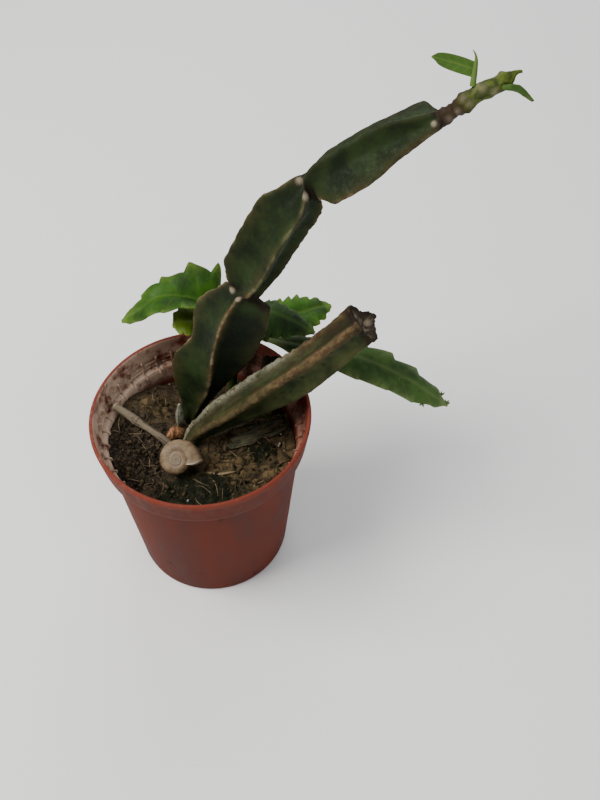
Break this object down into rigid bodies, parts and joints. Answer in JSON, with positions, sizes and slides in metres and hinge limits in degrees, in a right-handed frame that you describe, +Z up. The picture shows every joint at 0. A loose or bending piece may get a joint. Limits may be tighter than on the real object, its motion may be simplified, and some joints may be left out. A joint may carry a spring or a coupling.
{
  "type": "potted plant",
  "caption": "Potted veldt grape: leaning jointed four-winged stem with a young shoot, an old cut stem and a toothed-leaf seedling in a round nursery pot of soil.",
  "frame": {"origin": "centre of the pot's flat underside, on the surface that it stands on", "axes": "+Z up along the pot's axis, +X towards the tip of the leaning stem, -Y towards the side the plant shows its broad faces to"},
  "size_m": [0.1566, 0.104, 0.2312],
  "materials": {
    "pot": "satin",
    "soil": "matte",
    "stem": "satin",
    "corky_stem": "matte",
    "young_leaf": "satin",
    "leaf": "satin",
    "shell": "satin",
    "twig": "matte",
    "dry": "matte"
  },
  "bodies": {
    "root": {"pot": "pot", "soil": "soil", "main_stem": "stem", "cut_stem": "corky_stem", "old_stub": "corky_stem", "shoot_leaf": "young_leaf", "tip_leaflet": "young_leaf", "kalanchoe_stem": "leaf", "left_leaf": "leaf", "small_leaf": "leaf", "front_right_leaf": "leaf", "back_right_leaf": "leaf", "long_leaf": "leaf", "snail_shell": "shell", "twig": "twig", "husk": "dry", "sprout": "twig", "withered_strip_1": "dry", "withered_strip_2": "dry"}
  },
  "joints": []
}
